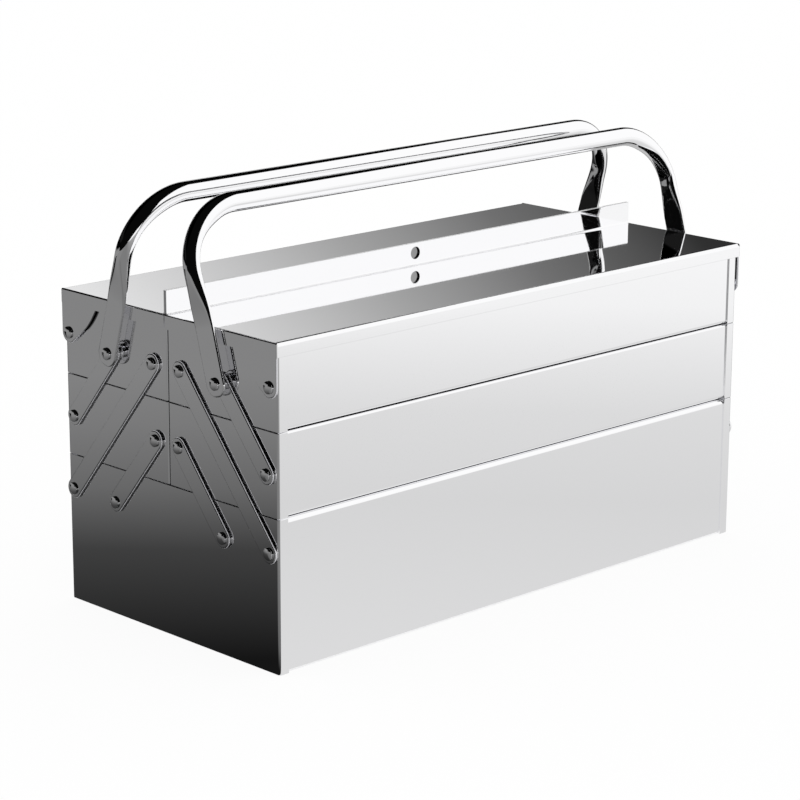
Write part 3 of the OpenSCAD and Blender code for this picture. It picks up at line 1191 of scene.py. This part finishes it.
    def cut(self, sheet: Surface) -> Surface:
        """Takes the padlock hole out of the sheet.

        Args:
            sheet: The folded sheet.

        Returns:
            The sheet with the hole through its upright flange.
        """
        reach, radius = self.bore_half, self.hole_radius
        profile = [(reach, 0.0), (reach, radius), (-reach, radius), (-reach, 0.0)]
        bore = turned(profile, (0.0, 0.0), 0.0, self.hole_steps)
        centre = (self.bore_shift, 0, self.hole_height)
        placed = Surface(bore.points[:, [1, 0, 2]] + centre, bore.faces).outward()
        pieces = []
        for surface in (sheet, placed):
            pieces.append(bpy.data.objects.new("cutting", merged_mesh("cutting", surface)))
            bpy.context.scene.collection.objects.link(pieces[-1])
        cutter = pieces[0].modifiers.new("bore", "BOOLEAN")
        cutter.object, cutter.operation, cutter.solver = pieces[1], "DIFFERENCE", "EXACT"
        evaluated = pieces[0].evaluated_get(bpy.context.evaluated_depsgraph_get())
        result = bpy.data.meshes.new_from_object(evaluated)
        points = np.empty(len(result.vertices) * 3)
        result.vertices.foreach_get("co", points)
        faces = [list(face.vertices) for face in result.polygons]
        for piece in pieces:
            bpy.data.objects.remove(piece)
        return Surface(points.reshape(-1, 3), faces)


# ---------------------------------------------------------------- handle


@dataclass(frozen=True)
class Spacer:
    """A turned ring between an upper bar and a handle's leg, with a groove round it.

    Attributes:
        low: Distance of its inner end outwards from the panel.
        high: Distance of its outer end.
        radius: Its outer radius.
        bore: Radius of its hole.
        bevel: Width of the bevels at its ends.
        groove: Radius at the groove's bottom.
        groove_half: Half the groove's width there.
        groove_lean: How far each side of the groove leans out.
    """

    low: float = 2.3
    high: float = 4.3
    radius: float = 4.4
    bore: float = 2.55
    bevel: float = 0.2
    groove: float = 4.0
    groove_half: float = 0.15
    groove_lean: float = 0.1

    def rings(self) -> Surface:
        """The rings of the front handle.

        Returns:
            The closed shells at both ends.
        """
        middle = (self.low + self.high) / 2
        wide = self.groove_half + self.groove_lean
        outline = [
            (self.high, self.bore),
            (self.high, self.radius - self.bevel),
            (self.high - self.bevel, self.radius),
            (middle + wide, self.radius),
            (middle + self.groove_half, self.groove),
            (middle - self.groove_half, self.groove),
            (middle - wide, self.radius),
            (self.low + self.bevel, self.radius),
            (self.low, self.radius - self.bevel),
            (self.low, self.bore),
            (self.high, self.bore),
        ]
        return both_ends(turned(outline, PIVOTS.top_upper, -BOX.half_length))


@dataclass(frozen=True)
class Handle:
    """A carrying handle of round tube with two bends, its legs pressed flat where they are riveted.

    The pressed shape is set by the distance s along the leg from its pivot. The outer side is a
    flat with a quarter ellipse at each edge; the flat narrows to nothing where the tube is round
    again. The inner side stays pressed further up, and leaves room for the lid's end.

    Attributes:
        lean: Angle between the legs and upright, in degrees.
        tube: Outer radius of the tube.
        offset: Distance of the leg's middle outwards from the panel.
        reach: Distance of the crossbar's middle from the pivots.
        bend: Radius of the bends' middle line.
        leg_half_width: Half the width of the pressed leg.
        leg_half_thickness: Half its thickness.
        inner_pressed: Distance of the inner side from the tube's middle where the bend starts.
        inner_dip: How far it then draws in.
        dip_length: Length over which it does.
        inner_fade: Length over which the inner side turns round in the bend.
        flat_until: Distance s up to which the leg keeps its full width.
        round_from: Distance s from which it has the tube's width.
        swell_from: Distance s from which its outer side swells.
        swell_until: Distance s from which that side is round.
        end_steps: Steps along the leg's round end.
        low_steps: Steps from the pivot to where the outer side swells.
        swell_steps: Steps from there to where the leg has the tube's width.
        bend_steps: Steps from there to the end of the bend.
        corner_steps: Steps round each quarter ellipse.
        flat_steps: Steps across each flat.
        spacer: The ring between each leg and the upper bar.
    """

    lean: float = 16.0
    tube: float = 6.2
    offset: float = 5.4
    reach: float = 104.0
    bend: float = 39.0
    leg_half_width: float = 8.2
    leg_half_thickness: float = 1.0
    inner_pressed: float = 2.8
    inner_dip: float = 0.8
    dip_length: float = 8.0
    inner_fade: float = 36.0
    flat_until: float = 43.0
    round_from: float = 68.0
    swell_from: float = 30.0
    swell_until: float = 76.0
    end_steps: int = 15
    low_steps: int = 3
    swell_steps: int = 37
    bend_steps: int = 43
    corner_steps: int = 12
    flat_steps: int = 8
    spacer: Spacer = Spacer()

    def stations(self) -> Array:
        """Distances along the middle line of the left half, closer where the section changes.

        Returns:
            The distances, from the leg's end to the crossbar's middle.
        """
        start = -self.leg_half_width * np.cos(np.linspace(0, pi / 2, self.end_steps + 1))
        bend_end = self.reach - self.bend + self.bend * pi / 2
        span = BOX.half_length + self.offset - self.bend
        parts = [
            np.linspace(0, self.swell_from, self.low_steps + 1),
            np.linspace(self.swell_from, self.round_from, self.swell_steps + 1),
            np.linspace(self.round_from, bend_end, self.bend_steps + 1),
        ]
        return np.concatenate([start, *(part[1:] for part in parts), [bend_end + span]])

    def section(self, s: Array) -> Array:
        """Sections at the stations, as offsets outwards and across, round the tube's middle line.

        Args:
            s: Distances along the middle line, as a column.

        Returns:
            Offsets for each station and each point round the section.
        """
        thin, wide = self.leg_half_thickness, self.leg_half_width
        open_up = smoothstep(s, self.flat_until, self.round_from)
        foot = np.sqrt(np.clip(wide**2 - np.clip(s, -wide, 0) ** 2, 0, None))
        across = np.where(s < 0, foot, wide + (self.tube - wide) * open_up)
        tip = np.clip((s + wide) / thin, 0, 1)
        edge = np.sqrt(1 - (1 - tip) ** 2)
        swell = smoothstep(s, self.swell_from, self.swell_until)
        out = thin + (self.tube - thin) * swell
        start = self.reach - self.bend
        dipped = start + self.dip_length
        pressed = smoothstep(s, self.flat_until, start)
        inner = thin + (self.inner_pressed - thin) * pressed
        inner = inner - self.inner_dip * smoothstep(s, start, dipped)
        left_over = self.tube - self.inner_pressed + self.inner_dip
        inner = inner + left_over * smoothstep(s, dipped, dipped + self.inner_fade)
        flat = np.clip(across - thin, 0, None)
        out_rise, out_run = self.side(across, flat * (1 - swell), out * edge)
        in_rise, in_run = self.side(across, flat * (1 - pressed), inner * edge)
        rise = np.concatenate([out_rise[:, :-1], -in_rise[:, :0:-1]], axis=1)
        run = np.concatenate([out_run[:, :-1], in_run[:, :0:-1]], axis=1)
        return np.stack([rise, run], axis=-1)

    def side(self, across: Array, flat: Array, height: Array) -> tuple[Array, Array]:
        """One side of the sections: quarter ellipse, flat, and quarter ellipse.

        Args:
            across: Half the width at each station.
            flat: Half the width of the flat there.
            height: Distance of the flat from the middle line.

        Returns:
            Offsets away from the middle line and across it, from one edge to the other.
        """
        quarter = np.linspace(0, pi / 2, self.corner_steps + 1)[None, :]
        level = np.linspace(1, -1, self.flat_steps + 1)[None, 1:-1]
        rise = [height * np.sin(quarter), height + 0 * level, height * np.cos(quarter)]
        run = [
            flat + (across - flat) * np.cos(quarter),
            flat * level,
            -flat - (across - flat) * np.sin(quarter),
        ]
        return np.concatenate(rise, axis=1), np.concatenate(run, axis=1)

    def shell(self) -> Surface:
        """The handle: its sections carried up the left leg, round the bend and along the crossbar.

        The middle line goes straight up to the bend, and then stays the bend's radius from its
        centre. The right half mirrors the left one.

        Returns:
            The closed shell of the front handle.
        """
        s = self.stations()[:, None]
        start = self.reach - self.bend
        turn = np.clip((s - start) / self.bend, 0, pi / 2)
        past = np.clip(s - start - self.bend * pi / 2, 0, None)
        offsets = self.section(s)
        rise, across = offsets[..., 0], offsets[..., 1]
        x = self.bend * (1 - np.cos(turn)) + past - (BOX.half_length + self.offset)
        x = x - rise * np.cos(turn)
        up = np.where(s < start, s, start + self.bend * np.sin(turn)) + rise * np.sin(turn)
        lean = radians(self.lean)
        pivot_y, pivot_z = PIVOTS.top_upper
        y = pivot_y + up * sin(lean) - across * cos(lean)
        z = pivot_z + up * cos(lean) + across * sin(lean)
        left = np.stack([x, y, z], axis=-1)
        grid = np.concatenate([left, left[:-1][::-1] * np.array([-1.0, 1.0, 1.0])])
        return Surface(grid.reshape(-1, 3), grid_quads(*grid.shape[:2])).outward()

    def make(self, half: Half) -> None:
        """Builds and dresses the handle and its spacers.

        Args:
            half: Half of the box that it belongs to.
        """
        node, body = f"handle_{half.word}", f"{half.word}_handle"
        new_piece(self.shell().mirrored(half), node, body, TUBE)
        node, body = f"handle_spacers_{half.word}", f"{half.word}_top_tray"
        new_piece(self.spacer.rings().mirrored(half), node, body, RIVET)


# ---------------------------------------------------------------- studio


def staged_face(name: str, corners: tuple[Point3, ...], material: Material) -> bpy.types.Object:
    """A flat face of the studio.

    Args:
        name: Object name.
        corners: Corners in order, in metres.
        material: Its material.

    Returns:
        The new object.
    """
    mesh = bpy.data.meshes.new(name)
    mesh.from_pydata(corners, [], [tuple(range(len(corners)))])
    mesh.materials.append(material)
    face = bpy.data.objects.new(name, mesh)
    bpy.context.scene.collection.objects.link(face)
    return face


@dataclass(frozen=True)
class Card:
    """A flat card of the studio that only mirror reflections see.

    Attributes:
        name: Object name.
        corners: Corners in order, in metres.
    """

    name: str
    corners: tuple[Point3, ...]

    def make(self, material: Material) -> None:
        """Builds the card and hides it from every ray but glossy ones.

        Args:
            material: Its material.
        """
        card = staged_face(self.name, self.corners, material)
        card.visible_camera = card.visible_diffuse = card.visible_shadow = False
        card.visible_transmission = card.visible_volume_scatter = False


def flat_card(name: str, low: Point2, high: Point2, height: float) -> Card:
    """A level card between its corner with the smaller X and Y and the opposite one."""
    (x0, y0), (x1, y1) = low, high
    return Card(name, ((x0, y0, height), (x1, y0, height), (x1, y1, height), (x0, y1, height)))


def upright_card(name: str, first: Point2, second: Point2, low: float, high: float) -> Card:
    """An upright card between two places in X and Y, from one height to another."""
    return Card(name, ((*first, low), (*second, low), (*second, high), (*first, high)))


@dataclass(frozen=True)
class Studio:
    """A pale floor under plain white light, with cards that give polished steel things to mirror.

    Each table pairs a place along a direction, in metres, with a brightness. Each pair named fade
    holds the places where something has gone and where it is whole.

    Attributes:
        floor_half: Half the floor's side, in metres.
        floor_colour: sRGB hex colour of the floor.
        floor_glow: Share of plain white in it for the camera; the rest takes the object's shadow.
        floor_glow_mirrored: The same share where the floor is mirrored in the steel.
        felt_colour: sRGB hex colour of the black felt.
        tent_colour: sRGB hex colour of the light all round.
        wall_y: Place of the dark wall behind the box.
        wall_right: Place where that wall and the floor card before it end.
        wall_overhang: How far that wall runs on past the left one.
        left_x: Place of the dark wall on the left.
        front_y: Place of its return at the front.
        return_x: Place where the return ends.
        wall_low: Height of the walls' lower edges.
        wall_top: Height of the walls and the ceiling.
        ceiling_front: Right front corner of the ceiling.
        ceiling_right: Place where it ends along the wall behind.
        slot_way: Direction of the slot's light, across the wall and slanting.
        slot_start: Added to the distance along it.
        slot_tones: Brightness along the slot in the wall behind.
        slot_fade: Heights for the slot's lower edge.
        slot_top_fade: Heights for its upper edge.
        foot_tone: Brightness of that wall's foot on the left.
        foot_fade: Heights for the foot.
        foot_side_fade: Places along X for the foot.
        opening: Half the length and depth that the floor cards leave to the box.
        card_height: Height of the floor cards; the left one lies twice as high.
        left_card_front: Place where the left card ends at the front.
        front_card_right: Place where the front card ends on the right.
        right_card_right: Place where the right card ends.
        left_way: Direction away from the box's foot, to the rear and left.
        left_tones: Brightness of the left card along it.
        corner_way: Direction past the box's front corner.
        corner_tones: Least brightness of that card along it.
        side_way: Direction towards the front.
        side_tones: Least brightness of that card along it.
        dark_way: Direction across the left card's rear corner, where a shadow is painted.
        dark_fade: Places along it for that painted shadow.
        dark_rear_fade: Places along X for that painted shadow.
        front_way: Direction away from the box's foot, to the front and right.
        front_tones: Brightness of the front card along it, lower near the box: a painted
            shadow of the box on the floor.
        back_way: Direction away from the box's foot, to the rear.
        back_tones: Brightness of the back card along it, and of the right card along X.
        edge_start: Added to the distance on the front and the right card.
    """

    floor_half: float = 7.0
    floor_colour: str = "FDFDFD"
    floor_glow: float = 0.92
    floor_glow_mirrored: float = 0.6
    felt_colour: str = "080808"
    tent_colour: str = "FFFFFF"
    wall_y: float = 1.0
    wall_right: float = 2.6
    wall_overhang: float = 0.6
    left_x: float = -1.6
    front_y: float = -3.0
    return_x: float = -0.38
    wall_low: float = 0.001
    wall_top: float = 2.2
    ceiling_front: Point2 = (0.54, -1.25)
    ceiling_right: float = 2.17
    slot_way: Point3 = (1.0, 0.0, -1.1)
    slot_start: float = 0.5005
    slot_tones: Table = (
        (0.1, 0.01),
        (0.48, 0.79),
        (0.86, 0.37),
        (1.1, 0.165),
        (1.4, 0.03),
        (1.75, 0.015),
    )
    slot_fade: Point2 = (0.34, 0.42)
    slot_top_fade: Point2 = (0.72, 0.62)
    foot_tone: float = 0.25
    foot_fade: Point2 = (0.20, 0.12)
    foot_side_fade: Point2 = (0.1, -0.1)
    opening: Point2 = (0.2077, 0.1002)
    card_height: float = 0.0001
    left_card_front: float = -1.0
    front_card_right: float = 3.5
    right_card_right: float = 1.3
    left_way: Point3 = (-1.0, 1.0, 0.0)
    left_tones: Table = ((0.15, 0.008), (0.45, 0.05), (0.66, 0.14), (0.9, 0.197), (1.13, 0.228))
    corner_way: Point3 = (-1.03, -1.0, 0.0)
    corner_tones: Table = ((0.32, 0.0), (0.37, 0.13), (0.6, 0.2))
    side_way: Point3 = (0.5, -1.0, 0.0)
    side_tones: Table = ((0.0, 0.0), (0.1, 0.2), (1.0, 0.6))
    dark_way: Point3 = (1.0, 0.757, 0.0)
    dark_fade: Point2 = (-0.09, -0.02)
    dark_rear_fade: Point2 = (-0.30, -0.38)
    front_way: Point3 = (1.0, -1.0, 0.0)
    front_tones: Table = ((-0.3, 0.735), (0.3, 0.68), (0.65, 0.725), (1.2, 0.91), (1.5, 0.94))
    back_way: Point3 = (0.0, 1.0, 0.0)
    back_tones: Table = ((0.115, 0.55), (0.3, 0.45), (0.52, 0.02))
    edge_start: float = -0.1

    def tones(
        self, material: Material, place: Socket, way: Point3, table: Table, start: float = 0.0
    ) -> Socket:
        """A grey that follows a table along a direction, by the place's dot product with it.

        Args:
            material: Material to build it in.
            place: Socket with the place.
            way: The direction, of any length.
            table: Pairs of distance and brightness.
            start: Added to the distance.

        Returns:
            Socket with the grey.
        """
        low, high = table[0][0], table[-1][0]
        far = add_node(material, "VectorMath", {0: place, 1: way}, operation="DOT_PRODUCT")
        limits = {"From_Min": low - start, "From_Max": high - start}
        share = add_node(material, "MapRange", {"Value": far.outputs["Value"]}, **limits)
        ramp = add_node(material, "ValToRGB", {"Fac": share.outputs["Result"]})
        stops = ramp.color_ramp.elements
        for distance, _ in table[1:-1]:
            stops.new((distance - low) / (high - low))
        for stop, (_, tone) in zip(stops, table):
            stop.color = (tone, tone, tone, 1.0)
        return ramp.outputs["Color"]

    def fade(self, material: Material, place: Socket, way: Point3, fade: Point2) -> Socket:
        """A smooth rise along a direction, from 0 at the first place to 1 at the second.

        Args:
            material: Material to build it in.
            place: Socket with the place.
            way: The direction, of any length.
            fade: The two places along it, in either order.

        Returns:
            Socket with the rise.
        """
        far = add_node(material, "VectorMath", {0: place, 1: way}, operation="DOT_PRODUCT")
        limits = {"From_Min": fade[0], "From_Max": fade[1]}
        source = {"Value": far.outputs["Value"]}
        rise = add_node(material, "MapRange", source, interpolation_type="SMOOTHSTEP", **limits)
        return rise.outputs["Result"]

    def glowing(
        self,
        material: Material,
        tone: Socket | tuple[float, float, float, float],
        strength: Socket | float = 1.0,
    ) -> Material:
        """Finishes a card's material as plain light of a tone.

        Args:
            material: The card's material.
            tone: The tone, or a socket with it.
            strength: What it is multiplied by, or a socket with it.

        Returns:
            The same material.
        """
        glow = add_node(material, "Emission", {"Color": tone, "Strength": strength})
        add_node(material, "OutputMaterial", {"Surface": glow.outputs[0]})
        return material

    def wall_material(self) -> Material:
        """Black felt with a soft light behind a slot in it, brightest at the left.

        The light is the slot's tone times both its fades, and the foot's tone times its own two.
        It gives the lids their long gradient.

        Returns:
            The new material.
        """
        material = empty_material("felt_wall_with_slot")
        place = add_node(material, "TexCoord").outputs["Object"]
        tone = self.tones(material, place, self.slot_way, self.slot_tones, self.slot_start)
        rise = self.fade(material, place, UPWARDS, self.slot_fade)
        fall = self.fade(material, place, UPWARDS, self.slot_top_fade)
        slot = add_node(material, "Math", {0: rise, 1: fall}, operation="MULTIPLY")
        foot = self.fade(material, place, UPWARDS, self.foot_fade)
        side = self.fade(material, place, ALONG, self.foot_side_fade)
        low = add_node(material, "Math", {0: foot, 1: side}, operation="MULTIPLY")
        low_part = {0: low.outputs[0], 1: self.foot_tone}
        low_part = add_node(material, "Math", low_part, operation="MULTIPLY")
        lit = {0: tone, "Scale": slot.outputs[0]}
        lit = add_node(material, "VectorMath", lit, operation="SCALE")
        both = {0: lit.outputs[0], 1: low_part.outputs[0]}
        both = add_node(material, "VectorMath", both, operation="ADD")
        return self.glowing(material, both.outputs[0])

    def left_floor_material(self) -> Material:
        """Grey card, darkest at the box's foot, lighter to the rear and past the front corner.

        Its tone is the largest of three tables' tones, times one minus the two fades of the shadow
        painted on its rear corner.
        It gives the left end its gradient from dark foot to grey top.

        Returns:
            The new material.
        """
        material = empty_material("graded_left_card")
        place = add_node(material, "TexCoord").outputs["Object"]
        away = self.tones(material, place, self.left_way, self.left_tones)
        corner = self.tones(material, place, self.corner_way, self.corner_tones)
        side = self.tones(material, place, self.side_way, self.side_tones)
        # The painted shadow, darkest at the card's rear left corner.
        behind = self.fade(material, place, self.dark_way, self.dark_fade)
        rear = self.fade(material, place, ALONG, self.dark_rear_fade)
        dark = add_node(material, "Math", {0: rear, 1: behind}, operation="MULTIPLY")
        light = add_node(material, "Math", {0: 1.0, 1: dark.outputs[0]}, operation="SUBTRACT")
        largest = add_node(material, "VectorMath", {0: away, 1: corner}, operation="MAXIMUM")
        largest = {0: largest.outputs[0], 1: side}
        largest = add_node(material, "VectorMath", largest, operation="MAXIMUM")
        return self.glowing(material, largest.outputs[0], light.outputs[0])

    def sloped_material(self, name: str, way: Point3, start: float, table: Table) -> Material:
        """Grey card whose tone follows a table along one direction.

        Args:
            name: Material name.
            way: The direction.
            start: Added to the distance along it.
            table: Pairs of distance and brightness.

        Returns:
            The new material.
        """
        material = empty_material(name)
        place = add_node(material, "TexCoord").outputs["Object"]
        return self.glowing(material, self.tones(material, place, way, table, start))

    def black_material(self) -> Material:
        """Black felt, which sends next to nothing back and gives the steel its black lines."""
        return self.glowing(empty_material("black_felt"), linear(self.felt_colour))

    def floor_material(self) -> Material:
        """Matt white laminate: plain white to the camera and to mirror and glass rays, yet shaded.

        The share of plain white is the mirrored one for those rays, plus the camera's for its own.

        Returns:
            The new material.
        """
        material = empty_material("matt_white_laminate")
        path = add_node(material, "LightPath").outputs
        rays = {0: path["Is Glossy Ray"], 1: path["Is Transmission Ray"]}
        mirrored = add_node(material, "Math", rays, operation="MAXIMUM")
        seen = {0: path["Is Camera Ray"], 1: self.floor_glow}
        seen = add_node(material, "Math", seen, operation="MULTIPLY")
        share = {0: mirrored.outputs[0], 1: self.floor_glow_mirrored, 2: seen.outputs[0]}
        share = add_node(material, "Math", share, operation="MULTIPLY_ADD")
        matt = add_node(material, "BsdfDiffuse", Color=linear(self.floor_colour))
        plain = add_node(material, "Emission", Strength=1.0)
        parts = {0: share.outputs[0], 1: matt.outputs[0], 2: plain.outputs[0]}
        mixed = add_node(material, "MixShader", parts)
        add_node(material, "OutputMaterial", {"Surface": mixed.outputs[0]})
        return material

    def world(self) -> None:
        """Sets a plain white world of strength 1."""
        world = bpy.data.worlds.new("white_tent")
        world.use_nodes = True
        world.node_tree.nodes.clear()
        tent = add_node(world, "Background", Color=linear(self.tent_colour), Strength=1.0)
        add_node(world, "OutputWorld", {"Surface": tent.outputs[0]})
        bpy.context.scene.world = world

    def make_floor(self) -> None:
        """Builds the floor, a square about the box."""
        half = self.floor_half
        corners = ((-half, -half, 0), (half, -half, 0), (half, half, 0), (-half, half, 0))
        staged_face("floor", corners, self.floor_material())

    def make_walls(self) -> None:
        """Builds the three walls and the ceiling, which bound the steel's highlights with black."""
        y, left, front, top = self.wall_y, self.left_x, self.front_y, self.wall_top
        lit, black = self.wall_material(), self.black_material()
        walls = (
            ("rear_wall_card", (left - self.wall_overhang, y), (self.wall_right, y), lit),
            ("left_wall_card", (left, front), (left, y), black),
            ("front_left_wall_card", (left, front), (self.return_x, front), black),
        )
        for name, first, second, felt in walls:
            upright_card(name, first, second, self.wall_low, top).make(felt)
        plan = [(left, y), (left, front), (self.return_x, front)]
        plan += [self.ceiling_front, (self.ceiling_right, y)]
        Card("ceiling_card", tuple((*corner, top) for corner in plan)).make(black)

    def make_floor_cards(self) -> None:
        """Builds the four cards that lie round the box, which shade the steel's lower parts; the
        front and the left one carry a painted shadow.
        """
        x, y = self.opening
        height, rear = self.card_height, self.wall_y
        slopes = {
            "front": (self.front_way, self.edge_start, self.front_tones),
            "back": (self.back_way, 0.0, self.back_tones),
            "right": (ALONG, self.edge_start, self.back_tones),
        }
        graded = {
            name: self.sloped_material(f"graded_{name}_card", *slope)
            for name, slope in slopes.items()
        }
        graded["left"] = self.left_floor_material()
        cards = {
            "left": ((self.left_x, self.left_card_front), (-x, rear), 2 * height),
            "front": ((-x, self.front_y), (self.front_card_right, -y), height),
            "back": ((-x, y), (self.wall_right, rear), height),
            "right": ((x, -y), (self.right_card_right, y), height),
        }
        for name, (low, high, level) in cards.items():
            flat_card(f"{name}_floor_card", low, high, level).make(graded[name])

    def make(self) -> None:
        """Builds the world, the floor and the cards, which stand clear of the box."""
        self.world()
        self.make_floor()
        self.make_walls()
        self.make_floor_cards()


@dataclass(frozen=True)
class StudioCamera:
    """The camera: it stands in front of the left end and looks slightly down.

    Attributes:
        place: Its position, in millimetres.
        right: Direction that it shows to the right.
        up: Direction that it shows upwards.
        back: Direction from the object to the camera.
        focal: Focal length, in millimetres.
        sensor: Width of its sensor, in millimetres.
        near: Least distance that it sees, in metres.
        far: Greatest distance that it sees.
    """

    place: Point3 = (-1240.432, -1264.504, 580.560)
    right: Point3 = (0.7180843, -0.6959423, 0.00438696)
    up: Point3 = (0.17462962, 0.18628029, 0.9668527)
    back: Point3 = (-0.6736909, -0.69351565, 0.25529709)
    focal: float = 125.2353
    sensor: float = 36.0
    near: float = 0.05
    far: float = 60.0

    def make(self) -> None:
        """Builds the camera and makes it the scene's own."""
        data = bpy.data.cameras.new("camera")
        data.lens, data.sensor_width = self.focal, self.sensor
        data.clip_start, data.clip_end = self.near, self.far
        camera = bpy.data.objects.new("camera", data)
        turn = Matrix((self.right, self.up, self.back)).transposed().to_4x4()
        camera.matrix_world = Matrix.Translation(Vector(self.place) * MM) @ turn
        bpy.context.scene.collection.objects.link(camera)
        bpy.context.scene.camera = camera


# ---------------------------------------------------------------- the tool box


def main() -> None:
    """Builds the camera, the studio and the tool box, from the base up."""
    logging.basicConfig(level=logging.INFO, format="%(message)s")
    scene = bpy.context.scene
    scene.view_settings.view_transform = "Standard"
    scene.cycles.max_bounces, scene.cycles.glossy_bounces = BOUNCES, GLOSSY_BOUNCES
    StudioCamera().make()
    Studio().make()
    Base().make()
    for half in Half:
        for tray in (MIDDLE_TRAY, TOP_TRAY):
            tray.make(half)
        Arms().make(half)
        Lid().make(half)
        Handle().make(half)


if __name__ == "__main__":
    main()
